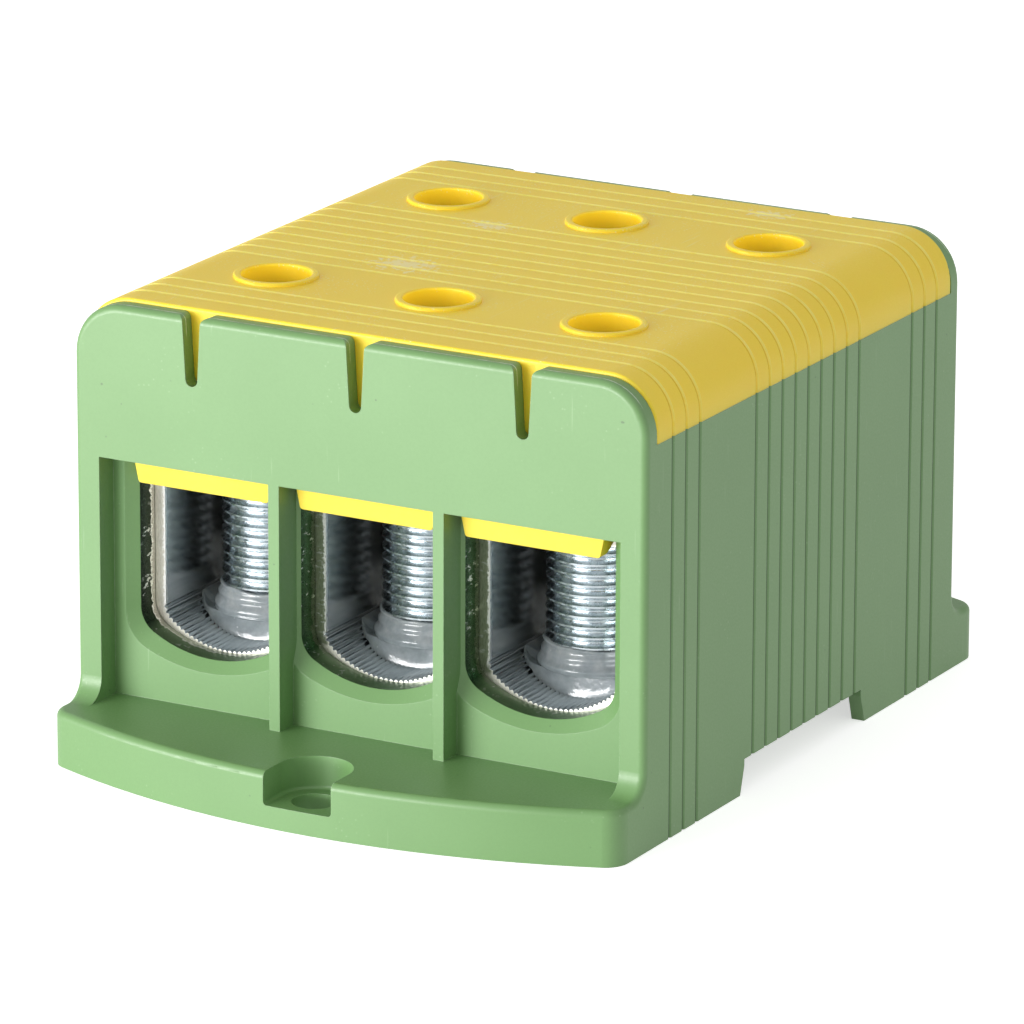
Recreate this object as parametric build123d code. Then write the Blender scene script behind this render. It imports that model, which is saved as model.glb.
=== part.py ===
from build123d import *
import os
from math import floor, sqrt

# Three-pole power distribution block for conductors up to about 20 mm thick.
# A grooved moulded housing carries three tube connectors with two clamp screws each,
# under a clip-on lid with a key hole over every screw.
# Millimetres. X runs across the poles, +Y to the rear, +Z up, origin in the middle of the base.

# Connectors: extruded tubes, one for each pole
pole_names = ["left", "middle", "right"]
connector_length = 76.4
connector_width = 24.0
connector_height = 38.5
connector_corner = 5.5
connector_edge = 1.0
connector_belly = 5.0
channel_width = 20.0
channel_height = 24.4
channel_floor_wall = 3.1
channel_belly = 4.2
channel_corner = 2.8
serration_pitch = 0.78
serration_depth = 0.35
serration_tooth_width = 0.66
serration_rise = 5.6

# Clamp screws: M16 x 1.5 set screws, drawn at the size of their thread crests
screw_radius = 7.8
screw_length = 28.0
screw_spacing = 48.6
screw_play = 0.05
screw_end_chamfer = 0.9
socket_across_flats = 8.0
socket_depth = 8.5
tip_above_channel_floor = 3.1
grease_gap = 0.1
grease_half_length = 7.6
grease_half_width = 10.4

# Moulded walls
side_wall = 2.0
end_wall = 2.8
pocket_wall = 1.7
partition_wall = 1.7
partition_height = 47.9
floor_wall = 1.5
web_wall = 1.8
side_cell = 3.15
pocket_gap = 0.15
connector_gap = 0.1

# Conductor entries in the end plates
entry_wall = 5.2
window_recess = 3.7
window_border = 3.9
flange_height = 8.0
entry_half_width = 11.65
entry_bottom_drop = 0.25
entry_belly = 3.9
entry_corner = 4.0
chamfer_depth = 1.4
chamfer_width = 1.65

# Body outline
base_height = 12.0
screw_headroom = 13.1
corner_radius = 7.5
edge_radius = 1.0
slot_half_width = 0.95
slot_top_half_width = 1.4
slot_depth = 9.9
slot_mouth_radius = 1.0
slot_spread = 0.25

# Grooves round the body
groove_width = 0.8
groove_depth = 0.4
groove_pitch = 3.88
end_groove_inset = 7.42
end_groove_count = 3
middle_groove_count = 9

# Screw flanges
flange_reach = 16.13
flange_end_reach = 6.9
flange_corner = 3.5
flange_wall = 2.2
flange_root_radius = 3.3
pocket_from_plate = 11.2
pocket_radius = 5.35
pocket_floor = 3.25
pocket_floor_radius = 0.5
flange_hole_radius = 3.25

# Rail seat: the notch for a 35 mm rail
rail_width = 35.0
rail_play = 0.6
rail_thickness = 1.0
notch_height = 5.0
notch_offset = -0.13
notch_lead_in = 1.2
relief_width = 9.0
relief_length = 15.0
hook_reach = 1.9
hook_width = 8.0
hook_thickness = 1.5
clip_thickness = 1.0
clip_width = 12.0
clip_gap = 0.1
clip_reach = 0.9
clip_run = 9.0
clip_slope = 2.25
clip_bend = 1.1
clip_bow = 3.4
clip_tail = 2.4
guide_wall = 1.8
guide_lip = 1.2
guide_length = 3.2

# Lid
lid_wall = 2.4
lid_side_wall = 2.0
lid_side_height = 8.6
lid_step = 0.5
lid_edge_radius = 0.4
lid_gap = 0.05
skirt_wall = 2.05
skirt_clearance = 0.2
tongue_wall = 3.3
tongue_drop = 3.7
tongue_half_width = 11.2
tongue_end_half_width = 10.4
tongue_corner = 0.5
tongue_bevel = 1.6
key_hole_radius = 4.95
key_ring_width = 1.1
key_ring_height = 0.5
key_rim_radius = 0.3
lip_wall = 1.4
lip_depth = 2.5
hold_down_width = 18.0
hold_down_wall = 1.8
catch_length = 14.0
catch_height = 1.0
catch_drop = 5.5
catch_clearance = 0.15

# Sizes that follow from the pieces inside
pole_pitch = connector_width + 2 * pocket_gap + partition_wall
pole_side = connector_width / 2 + pocket_gap + pocket_wall + side_cell + side_wall
half_width = (len(pole_names) - 1) * pole_pitch / 2 + pole_side
pole_x = [(i - (len(pole_names) - 1) / 2) * pole_pitch for i in range(len(pole_names))]
connector_end = connector_length / 2
entry_back = connector_end + connector_gap
recess_y = entry_back + entry_wall
plate_y = recess_y + window_recess
plate_back = plate_y - end_wall
floor_top = base_height - connector_gap
floor_underside = floor_top - floor_wall
channel_floor = base_height + channel_floor_wall
channel_top = channel_floor + channel_height
connector_top = base_height + connector_height
tongue_bottom = channel_top + skirt_clearance
window_top = tongue_bottom + tongue_drop
lid_underside = connector_top + screw_headroom
lid_top = lid_underside + lid_wall
height = lid_top + key_ring_height
body_top = lid_top - lid_step
parting_z = body_top - lid_side_height
screw_y = screw_spacing / 2
screw_tip = channel_floor + tip_above_channel_floor
inner_half_width = half_width - side_wall
window_half_width = half_width - window_border
pocket_half_width = connector_width / 2 + pocket_gap
notch_front = notch_offset - (rail_width + rail_play) / 2
notch_rear = notch_offset + (rail_width + rail_play) / 2
clip_top = notch_height - rail_thickness - clip_gap
pocket_y = plate_y + pocket_from_plate
lid_half_length = plate_back - lid_gap
skirt_half_width = inner_half_width - pocket_gap
catch_z = lid_top - catch_drop

# How far a cutter runs past the face that it cuts, and a solid into the one that it joins
out = 5.0
lap = 0.05


def block(x0, x1, y0, y1, z0, z1):
    """A box between two corners."""
    middle = Pos((x0 + x1) / 2, (y0 + y1) / 2, (z0 + z1) / 2)
    return middle * Box(x1 - x0, y1 - y0, z1 - z0)


def along_y(profile, y0, y1):
    """A profile drawn in X and Z, extruded from y0 back to y1."""
    rear = Plane(origin=(0, y1, 0), x_dir=(1, 0, 0), z_dir=(0, -1, 0))
    return extrude(rear * profile, amount=y1 - y0)


def along_x(profile, x0, x1):
    """A profile drawn in Y and Z, extruded from x0 across to x1."""
    side = Plane(origin=(x0, 0, 0), x_dir=(0, 1, 0), z_dir=(1, 0, 0))
    return extrude(side * profile, amount=x1 - x0)


def both_ends(piece):
    """A piece and its mirror image at the other end of the body."""
    return [piece, mirror(piece, about=Plane.XZ)]


def arched_profile(half, bottom, top):
    """A rectangle in X and Z with the body's rounded upper corners."""
    outline = Pos(0, (bottom + top) / 2) * Rectangle(2 * half, top - bottom)
    radius = corner_radius - (half_width - half)
    return fillet(outline.vertices().group_by(Axis.Y)[-1], radius)


def u_profile(half, bottom, top, belly, corner):
    """A slot with a round belly and rounded lower corners, drawn in X and Z."""
    shoulder = bottom + belly
    outline = make_face([
        Line((-half, top), (-half, shoulder)),
        ThreePointArc((-half, shoulder), (0, bottom), (half, shoulder)),
        Line((half, shoulder), (half, top)),
        Line((half, top), (-half, top)),
    ])
    return fillet(outline.vertices().group_by(Axis.Y)[0], corner)


def channel_profile(gap=0.0, top=channel_top):
    """The inside of a connector, or a shape that lies inside it by a gap."""
    half = channel_width / 2 - gap
    return u_profile(half, channel_floor + gap, top, channel_belly, channel_corner)


def serrated_channel_profile():
    """The inside of a connector with the grip serrations along its round floor."""
    channel = channel_profile()
    loop = channel.face().outer_wire()
    middle = loop.param_at_point(Vector(0, channel_floor)) * loop.length
    reach = channel_width / 2 + serration_rise
    count = floor(reach / serration_pitch)
    notches = []
    for i in range(-count, count + 1):
        station = (middle + i * serration_pitch) % loop.length
        root = loop.position_at(station, PositionMode.LENGTH)
        if root.Y > channel_floor + serration_rise:
            continue
        along = loop.tangent_at(station, PositionMode.LENGTH)
        outward = Vector(along.Y, -along.X)
        if outward.Y > 0 or (outward.X * root.X < 0):
            outward = -outward
        half = along * serration_tooth_width / 2
        inside = root - outward * lap
        tooth = Polyline(inside - half, inside + half, root + outward * serration_depth, close=True)
        notches.append(make_face(tooth))
    return channel + notches


def make_connector(x):
    """A tube with a round serrated floor and two threaded holes through its thick top."""
    outline = u_profile(connector_width / 2, base_height, connector_top, connector_belly, connector_corner)
    outline = fillet(outline.vertices().group_by(Axis.Y)[-1], connector_edge)
    tube = along_y(outline - serrated_channel_profile(), -connector_end, connector_end)
    hole = Cylinder(screw_radius + screw_play, connector_height)
    for y in (-screw_y, screw_y):
        tube -= Pos(0, y, connector_top) * hole
    return Pos(x, 0, 0) * tube


def make_screw(x, y):
    """A set screw with chamfered ends and a hexagon socket in its top."""
    screw = Cylinder(screw_radius, screw_length)
    screw = chamfer(screw.edges().filter_by(GeomType.CIRCLE), screw_end_chamfer)
    socket = RegularPolygon(socket_across_flats / 2, 6, major_radius=False)
    screw -= extrude(Pos(0, 0, screw_length / 2) * socket, amount=-socket_depth)
    return Pos(x, y, screw_tip + screw_length / 2) * screw


def make_grease(x, y):
    """A pool of contact grease on the channel's floor, under a screw's tip."""
    low = y - grease_half_length
    high = y + grease_half_length
    fill = along_y(channel_profile(grease_gap), low, high)
    fill &= block(-connector_width, connector_width, low, high, 0, screw_tip - grease_gap)
    outline = Pos(0, y, base_height) * Ellipse(grease_half_width, grease_half_length)
    return Pos(x, 0, 0) * (fill & extrude(outline, amount=channel_height))


def body_block():
    """The full body with both screw flanges, rounded but not yet hollowed."""
    section = Pos(0, body_top / 2) * Rectangle(2 * plate_y, body_top)
    section += Pos(0, flange_height / 2) * Rectangle(2 * (plate_y + flange_reach), flange_height)
    low = section.vertices().filter_by(lambda v: abs(v.Y - flange_height) < lap)
    section = fillet(low.filter_by(lambda v: abs(v.X) < plate_y + lap), flange_root_radius)
    body = along_x(section, -half_width, half_width)
    tops = body.edges().filter_by(Axis.Y).group_by(Axis.Z)[-1]
    body = fillet(tops, corner_radius)
    body &= extrude(flange_plan(0), amount=body_top)
    for side in (-1, 1):
        body = fillet(outline_edges(body, side), edge_radius)
    return body


def flange_plan(inset):
    """The body's outline seen from above, with bowed ends, drawn an inset inside its edges."""
    half = half_width - inset
    end = plate_y + flange_end_reach - inset
    mid = plate_y + flange_reach - inset
    plan = make_face([
        Line((-half, -end), (-half, end)),
        ThreePointArc((-half, end), (0, mid), (half, end)),
        Line((half, end), (half, -end)),
        ThreePointArc((half, -end), (0, -mid), (-half, -end)),
    ])
    return fillet(plan.vertices(), flange_corner - inset)


def outline_edges(body, side):
    """The closed loop of edges round one end plate and down along its flange's top."""
    root_y = plate_y + flange_root_radius
    root_z = flange_height + flange_root_radius
    loop = []
    for edge in body.edges():
        spot = edge.center()
        y = side * spot.Y
        at_root = abs(spot.Z - root_z) < lap or abs(y - root_y) < lap
        across = abs(spot.X) < corner_radius
        if y > plate_y - lap and spot.Z > flange_height - lap and not (across and at_root):
            loop.append(edge)
    return loop


def slot_outline(spread):
    """The tapered outline of a vent slot in X and Z, widened all round by a spread."""
    low = slot_half_width + spread
    wide = slot_top_half_width + spread
    lip = wide + slot_mouth_radius
    bottom = body_top - slot_depth - spread
    shoulder = bottom + low
    mouth = body_top - slot_mouth_radius
    turn = slot_mouth_radius * sqrt(0.5)
    return make_face([
        ThreePointArc((-low, shoulder), (0, bottom), (low, shoulder)),
        Line((low, shoulder), (wide, mouth)),
        ThreePointArc((wide, mouth), (lip - turn, mouth + turn), (lip, body_top)),
        Line((lip, body_top), (lip, body_top + out)),
        Line((lip, body_top + out), (-lip, body_top + out)),
        Line((-lip, body_top + out), (-lip, body_top)),
        ThreePointArc((-lip, body_top), (turn - lip, mouth + turn), (-wide, mouth)),
        Line((-wide, mouth), (-low, shoulder)),
    ])


def vent_slot():
    """The slot in an end plate's top, drafted so that it widens toward the lid's skirt."""
    front = Plane(origin=(0, -plate_y, 0), x_dir=(1, 0, 0), z_dir=(0, -1, 0))
    back = Plane(origin=(0, lid_gap - plate_back, 0), x_dir=(1, 0, 0), z_dir=(0, -1, 0))
    drafted = loft([front * slot_outline(0), back * slot_outline(slot_spread)], ruled=True)
    return drafted + along_y(slot_outline(0), -plate_y - out, -plate_y)


def entry_cut(x):
    """A conductor entry at the front: a wide bevel that narrows to a straight U-shaped mouth."""
    bottom = channel_floor - entry_bottom_drop
    mouth = u_profile(entry_half_width, bottom, window_top, entry_belly, entry_corner)
    bevel = u_profile(
        entry_half_width + chamfer_width,
        bottom - chamfer_width,
        window_top,
        entry_belly,
        entry_corner + chamfer_width,
    )
    front = Plane(origin=(0, -recess_y, 0), x_dir=(1, 0, 0), z_dir=(0, -1, 0))
    back = Plane(origin=(0, -recess_y + chamfer_depth, 0), x_dir=(1, 0, 0), z_dir=(0, -1, 0))
    funnel = loft([front * bevel, back * mouth], ruled=True)
    left = -window_half_width if x == pole_x[0] else x - pocket_half_width
    right = window_half_width if x == pole_x[-1] else x + pocket_half_width
    funnel = (Pos(x, 0, 0) * funnel) & block(left, right, -plate_y, 0, 0, height)
    return funnel + Pos(x, 0, 0) * along_y(mouth, -recess_y + chamfer_depth - lap, -entry_back + lap)


def pocket_cut(x):
    """The bed of one connector between its entries, with a round belly like the tube's."""
    bed = u_profile(
        pocket_half_width,
        floor_top,
        window_top + lap,
        connector_belly,
        connector_corner,
    )
    return Pos(x, 0, 0) * along_y(bed, -entry_back, entry_back)


def upper_room():
    """The room over the connectors, which leaves the tall partitions between the poles."""
    room = block(-inner_half_width, inner_half_width, -plate_back, plate_back, window_top, height + out)
    room += block(-half_width - out, half_width + out, -plate_back, plate_back, parting_z, height + out)
    reach = plate_back - skirt_wall - 2 * lid_gap - pocket_gap
    for x0, x1 in zip(pole_x, pole_x[1:]):
        x = (x0 + x1) / 2
        top = base_height + partition_height
        room -= block(x - partition_wall / 2, x + partition_wall / 2, -reach, reach, 0, top)
    return room


def side_cells():
    """The narrow empty cells between the outer pockets and the side walls."""
    outer = inner_half_width
    inner = outer - side_cell
    return [
        block(inner, outer, -entry_back, entry_back, floor_top, window_top + lap),
        block(-outer, -inner, -entry_back, entry_back, floor_top, window_top + lap),
    ]


def underside_cells():
    """The hollows under the floor, between webs that seat the block on its rail."""
    inner_y = recess_y - side_wall
    cells = block(-inner_half_width, inner_half_width, -inner_y, inner_y, -out, floor_underside)
    step = pole_pitch / 2
    reach = floor(inner_half_width / step)
    for i in range(-reach, reach + 1):
        x = i * step
        cells -= block(x - web_wall / 2, x + web_wall / 2, -inner_y, inner_y, -out, floor_underside)
    cells -= block(-half_width, half_width, notch_front - web_wall, notch_front, -out, floor_underside)
    cells -= block(-half_width, half_width, notch_rear, notch_rear + web_wall, -out, floor_underside)
    span = (inner_y + notch_rear + web_wall) / 2
    for y in (-span, span):
        cells -= block(-half_width, half_width, y - web_wall / 2, y + web_wall / 2, -out, floor_underside)
    return cells + relief_cuts()


def relief_cuts():
    """The low places in the webs beside the notch, just inside the side walls."""
    outer = inner_half_width
    inner = outer - relief_width
    cuts = []
    for x0, x1 in ((-outer, -inner), (inner, outer)):
        cuts.append(block(x0, x1, notch_rear - out, notch_rear + relief_length, -out, notch_height))
        cuts.append(block(x0, x1, notch_front - relief_length, notch_front + out, -out, notch_height))
    return cuts


def flange_hollow():
    """The hollow under the front flange, round the boss of its screw pocket."""
    depth = flange_height - flange_wall
    hollow = extrude(flange_plan(flange_wall), amount=depth)
    hollow &= block(-half_width, half_width, -plate_y - flange_reach, -recess_y, 0, depth)
    boss = pocket_radius + flange_wall
    hollow -= Pos(0, -pocket_y, 0) * Cylinder(boss, 4 * flange_height)
    hollow -= block(-boss, boss, -pocket_y - 2 * boss, -pocket_y, 0, depth)
    step = pole_pitch / 2
    reach = floor(half_width / step)
    for i in range(1, reach + 1):
        for x in (-i * step, i * step):
            rib = block(x - web_wall / 2, x + web_wall / 2, -plate_y - flange_reach, -recess_y, 0, depth)
            hollow -= rib
    return hollow


def screw_pocket():
    """The open-fronted pocket in the front flange, with its screw hole."""
    top = flange_height + out
    plan = Pos(0, -pocket_y) * Circle(pocket_radius)
    plan += Pos(0, -pocket_y - pocket_radius) * Rectangle(2 * pocket_radius, 2 * pocket_radius)
    slot = Pos(0, 0, pocket_floor) * extrude(plan, amount=top - pocket_floor)
    rims = slot.edges().group_by(Axis.Z)[0].filter_by(lambda e: e.center().Y > -plate_y - flange_reach)
    slot = fillet(rims, pocket_floor_radius)
    slot &= block(-half_width, half_width, -2 * plate_y, -plate_y, 0, top)
    return slot + Pos(0, -pocket_y, 0) * Cylinder(flange_hole_radius, 4 * pocket_floor)


def rail_notch():
    """The notch across the underside, with sloped lead-ins, less the fixed hooks."""
    lead = notch_height - rail_thickness
    section = make_face(Polyline(
        (notch_front - notch_lead_in, -out),
        (notch_front - notch_lead_in, 0),
        (notch_front, lead),
        (notch_front, notch_height),
        (notch_rear, notch_height),
        (notch_rear, lead),
        (notch_rear + notch_lead_in, 0),
        (notch_rear + notch_lead_in, -out),
        close=True,
    ))
    notch = along_x(section, -half_width - out, half_width + out)
    for x in (pole_x[0], pole_x[-1]):
        notch -= fixed_hook(x)
    return notch


def fixed_hook(x):
    """A moulded hook that grips under the rail's front edge."""
    top = notch_height - rail_thickness - clip_gap
    tip = notch_front + hook_reach
    root = notch_front - notch_lead_in - web_wall
    section = make_face(Polyline(
        (root, top),
        (tip, top),
        (tip, top - hook_thickness / 2),
        (tip - hook_thickness, top - hook_thickness * 1.5),
        (root, top - hook_thickness * 1.5),
        close=True,
    ))
    return along_x(section, x - hook_width / 2, x + hook_width / 2)


def clip_stations():
    """The Y stations of the two guides that hold the rail clip."""
    first = notch_rear + web_wall
    return [first, first + guide_length + clip_run + 2 * clip_thickness]


def clip_guides():
    """Two pairs of T-slot guides under the floor for the rail clip."""
    half = clip_width / 2 + clip_gap
    strip_low = clip_top - clip_thickness
    guides = []
    for y in clip_stations():
        for side in (-1, 1):
            x0, x1 = sorted((side * (half - guide_lip), side * (half + guide_wall)))
            post = block(x0, x1, y, y + guide_length, strip_low - guide_lip, floor_underside)
            g0, g1 = sorted((side * (half - 2 * guide_lip), side * half))
            low = strip_low - clip_gap
            post -= block(g0, g1, y - out, y + guide_length + out, low, clip_top + clip_gap)
            guides.append(post)
    return guides


def clip_way():
    """The passage for the rail clip through the webs behind the notch."""
    half = clip_width / 2 + clip_gap
    tall = clip_top + clip_bow + clip_gap + clip_thickness
    low = clip_top - clip_thickness - clip_gap
    first, last = clip_stations()
    window = block(-half, half, notch_rear - out, first, low - clip_tail, clip_top + clip_gap)
    return window + block(-half, half, first, last + guide_length + 3 * clip_thickness, -out, tall)


def make_rail_clip():
    """A spring strip that reaches under the rail's rear edge, with a bow and a bent finger tab."""
    z = clip_top - clip_thickness / 2
    first, last = clip_stations()
    tip = notch_rear - rail_play - clip_reach
    rise = first + guide_length + clip_thickness
    fall = last - clip_thickness
    end = last + guide_length + clip_thickness
    path = FilletPolyline(
        (tip, z),
        (rise, z),
        (rise + clip_slope, z + clip_bow),
        (fall - clip_slope, z + clip_bow),
        (fall, z),
        (end, z),
        (end, z - clip_tail),
        radius=clip_bend,
    )
    strip = make_face(Wire(path.edges()).offset_2d(clip_thickness / 2, kind=Kind.ARC, closed=True))
    return along_x(strip, -clip_width / 2, clip_width / 2)


def groove_stations():
    """The Y stations of the grooves round the body."""
    inner = (middle_groove_count - 1) / 2
    stations = [(i - inner) * groove_pitch for i in range(middle_groove_count)]
    for i in range(end_groove_count):
        y = plate_y - end_groove_inset - i * groove_pitch
        stations += [-y, y]
    return stations


def side_grooves():
    """The straight grooves down both side walls."""
    half = groove_width / 2
    cutters = []
    for side in (-1, 1):
        face = side * half_width
        section = make_face(Polyline(
            (face - side * groove_depth, 0),
            (face + side * groove_depth, -2 * half),
            (face + side * groove_depth, 2 * half),
            close=True,
        ))
        tall = extrude(section, amount=parting_z + 2 * out)
        cutters += [Pos(0, y, -out) * tall for y in groove_stations()]
    return cutters


def catch_recesses():
    """The recesses inside an end plate that the lid's catches snap into."""
    front = -plate_back - catch_height / 2 - catch_clearance
    tall = catch_height / 2 + catch_clearance
    cuts = []
    for x0, x1 in zip(pole_x, pole_x[1:]):
        x = (x0 + x1) / 2
        half = catch_length / 2 + catch_clearance
        cuts.append(block(x - half, x + half, front, -plate_back, catch_z - tall, catch_z + tall))
    return cuts


def make_housing():
    """The moulded body: end plates, side walls, partitions, connector beds, flanges and rail seat."""
    body = body_block()
    window = block(
        -window_half_width,
        window_half_width,
        -plate_y - flange_root_radius - out,
        -recess_y,
        flange_height,
        window_top,
    )
    for x0, x1 in zip(pole_x, pole_x[1:]):
        x = (x0 + x1) / 2
        window -= block(x - partition_wall / 2, x + partition_wall / 2, -plate_y, 0, 0, height)
    body -= both_ends(window)
    body -= upper_room()
    body -= side_cells()
    for x in pole_x:
        body -= pocket_cut(x)
        body -= both_ends(entry_cut(x))
        for slot in both_ends(vent_slot()):
            body -= Pos(x, 0, 0) * slot
    for cut in catch_recesses():
        body -= both_ends(cut)
    body -= underside_cells() - fixed_hook(pole_x[0]) - fixed_hook(pole_x[-1])
    body -= both_ends(flange_hollow())
    body -= both_ends(screw_pocket())
    body -= rail_notch()
    body -= clip_way()
    body += clip_guides()
    body -= side_grooves()
    return body


def lid_tongue(x):
    """The flap of the lid that closes the top of one conductor entry, bevelled at its back."""
    top = window_top + 2 * tongue_wall
    outline = make_face(Polyline(
        (-tongue_half_width, top),
        (-tongue_half_width, window_top),
        (-tongue_end_half_width, tongue_bottom),
        (tongue_end_half_width, tongue_bottom),
        (tongue_half_width, window_top),
        (tongue_half_width, top),
        close=True,
    ))
    outline = fillet(outline.vertices().group_by(Axis.Y)[0], tongue_corner)
    back = tongue_wall - lid_half_length
    bevel = make_face(Polyline(
        (back - tongue_bevel, tongue_bottom - lap),
        (back + lap, tongue_bottom - lap),
        (back + lap, tongue_bottom + tongue_bevel),
        close=True,
    ))
    flap = along_y(outline, -lid_half_length, back)
    return Pos(x, 0, 0) * (flap - along_x(bevel, -channel_width, channel_width))


def lid_grooves():
    """The V grooves over the lid's sides, corners and top."""
    path = FilletPolyline(
        (half_width, 0, parting_z - out),
        (half_width, 0, lid_top),
        (-half_width, 0, lid_top),
        (-half_width, 0, parting_z - out),
        radius=corner_radius,
    )
    half = groove_width / 2
    section = Plane(origin=path @ 0, x_dir=(1, 0, 0), z_dir=(0, 0, 1)) * make_face(Polyline(
        (-groove_depth, 0),
        (groove_depth, -2 * half),
        (groove_depth, 2 * half),
        close=True,
    ))
    cutter = sweep(section, path=path)
    return [Pos(0, y, 0) * cutter for y in groove_stations()]


def key_ring():
    """The collar of a key hole, through the lid's wall, with a rounded rim."""
    tall = lid_wall + key_ring_height
    plan = Circle(key_hole_radius + key_ring_width) - Circle(key_hole_radius)
    ring = extrude(plan, amount=tall)
    return fillet(ring.edges().group_by(Axis.Z)[-1], key_rim_radius)


def make_lid():
    """The clip-on lid: a ribbed cap with key holes, end skirts, tongues and snap catches."""
    cap = along_y(arched_profile(half_width, parting_z, lid_top), -lid_half_length, lid_half_length)
    ends = [e for e in cap.edges() if abs(abs(e.center().Y) - lid_half_length) < lap]
    ends = [e for e in ends if e.center().Z > parting_z + lap]
    cap = fillet(ends, lid_edge_radius)
    inside = arched_profile(half_width - lid_side_wall, parting_z - out, lid_underside)
    cap -= along_y(inside, -lid_half_length + skirt_wall, lid_half_length - skirt_wall)
    cap -= lid_grooves()
    skirt = block(
        -skirt_half_width,
        skirt_half_width,
        -lid_half_length,
        -lid_half_length + skirt_wall,
        window_top + skirt_clearance,
        parting_z + lid_gap,
    )
    cap += both_ends(skirt)
    for side in (-1, 1):
        x0, x1 = sorted((side * (skirt_half_width - lip_wall), side * skirt_half_width))
        reach = lid_half_length - skirt_wall / 2
        cap += block(x0, x1, -reach, reach, parting_z - lip_depth, parting_z + lip_depth)
        x0, x1 = sorted((side * (skirt_half_width - lip_wall), side * (inner_half_width + lid_gap)))
        cap += block(x0, x1, -reach, reach, parting_z + lid_gap, parting_z + lip_depth)
    for x in pole_x:
        cap += both_ends(lid_tongue(x))
        half = hold_down_width / 2
        wall = hold_down_wall / 2
        foot = connector_top + connector_gap
        cap += block(x - half, x + half, -wall, wall, foot, lid_underside + lap)
        for y in (-screw_y, screw_y):
            cap -= Pos(x, y, height) * Cylinder(key_hole_radius, 4 * lid_wall)
            cap += Pos(x, y, height - key_ring_height - lid_wall) * key_ring()
    for x0, x1 in zip(pole_x, pole_x[1:]):
        catch = Rotation(0, 90, 0) * Cylinder(catch_height / 2, catch_length)
        cap += both_ends(Pos((x0 + x1) / 2, -lid_half_length, catch_z) * catch)
    return cap


os.makedirs("parts", exist_ok=True)

pieces = {
    "housing": make_housing(),
    "lid": make_lid(),
    "rail_clip": make_rail_clip(),
}
for name, x in zip(pole_names, pole_x):
    pieces["connector_" + name] = make_connector(x)
    for end, y in (("front", -screw_y), ("rear", screw_y)):
        pieces["clamp_screw_" + name + "_" + end] = make_screw(x, y)
        pieces["contact_grease_" + name + "_" + end] = make_grease(x, y)

for name, piece in pieces.items():
    export_step(piece, "parts/" + name + ".step")
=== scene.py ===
"""Looks of the three-pole power distribution block: moulded plastics, tinned connectors,
zinc-plated screws and contact grease, on a pale floor under soft studio light."""
import math

import bmesh
import bpy
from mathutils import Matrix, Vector, noise


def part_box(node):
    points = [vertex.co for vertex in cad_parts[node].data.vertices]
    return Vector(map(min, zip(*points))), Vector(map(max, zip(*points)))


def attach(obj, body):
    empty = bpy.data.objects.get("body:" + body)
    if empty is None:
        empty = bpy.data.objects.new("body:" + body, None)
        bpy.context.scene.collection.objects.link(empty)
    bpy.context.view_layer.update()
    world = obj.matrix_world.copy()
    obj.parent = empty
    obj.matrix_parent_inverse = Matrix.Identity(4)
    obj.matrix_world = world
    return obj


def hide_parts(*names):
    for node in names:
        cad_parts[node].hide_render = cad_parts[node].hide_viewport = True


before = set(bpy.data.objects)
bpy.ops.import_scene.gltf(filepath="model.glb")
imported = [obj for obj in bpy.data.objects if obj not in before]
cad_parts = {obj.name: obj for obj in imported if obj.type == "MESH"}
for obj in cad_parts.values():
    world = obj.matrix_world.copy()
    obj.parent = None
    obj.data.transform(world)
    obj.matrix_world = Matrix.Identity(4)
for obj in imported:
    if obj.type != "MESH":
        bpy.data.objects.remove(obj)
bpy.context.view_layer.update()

MM = 0.001
TURN = 2 * math.pi
SIXTH = TURN / 6

# Meshes: weld distance in metres, and the least angle of a sharp edge in degrees
WELD = 1e-7
SCREW_SHARP = 50
GREASE_SHARP = 80
BEVEL_SAMPLES = 4

# Screws, in millimetres: M16 x 1.5 with an 8 mm hexagon socket
THREAD_PITCH = 1.5
THREAD_DEPTH = 0.78
END_CHAMFER = 0.9
TIP_RING = 2.0
SOCKET_APOTHEM = 4.0
SOCKET_RING = 5.3
SOCKET_DEPTH = 8.5
SOCKET_CONE = 1.5

# Steps round a screw, turns of thread drawn in at each end, and how steeply they draw in
THREAD_STEPS = 72
EXTRA_TURNS = 3
END_FACE_SLOPE = 4

# One turn of the thread: share of the pitch, and share of the depth below the crest
THREAD_PROFILE = [
    (0.0, 0.0), (0.08, 0.0), (0.23, 0.5), (0.38, 1.0),
    (0.5, 1.05), (0.62, 1.0), (0.77, 0.5), (0.92, 0.0),
]

# Contact grease, in millimetres: the coat on a screw's lower end
GREASE_STEPS = 96
COAT_RADIUS = 8.12
COAT_FLARE = 1.1
COAT_TUCK = 0.22
COAT_HEIGHT = 3.7
COAT_START = 0.15
COAT_END = 0.2
COAT_RIPPLE = 0.10
COAT_LUMP = 0.10
COAT_ROWS = 22
COAT_FOOT = [(6.0, 0.02), (8.0, -0.03), (8.9, 0.02)]
COAT_LIP = [(7.98, -0.06), (7.7, 0.0), (7.2, -0.1)]
COAT_LIP_WAVES = [(0.42, 1.6), (0.12, 5.0)]

# The pool under a screw's tip, in millimetres
POOL_WALL_GAP = 0.04
POOL_TOP_ROOM = 0.05
POOL_SQUARENESS = 2.8
POOL_HALF_X = 10.5
POOL_FOOT_Y = 7.5
POOL_FOOT_WAVE = 0.45
POOL_HEAD_Y = 7.3
POOL_HEAD_WAVE = 0.2
POOL_SPREAD = 0.25
POOL_CLIMB = 1.75
POOL_CLIMB_START = 8.2
POOL_RIPPLE = 0.10
POOL_SINK = 0.25
POOL_ROWS = 9
POOL_CAP_SCALES = (0.975, 0.94, 0.88, 0.8, 0.6, 0.3)

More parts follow.
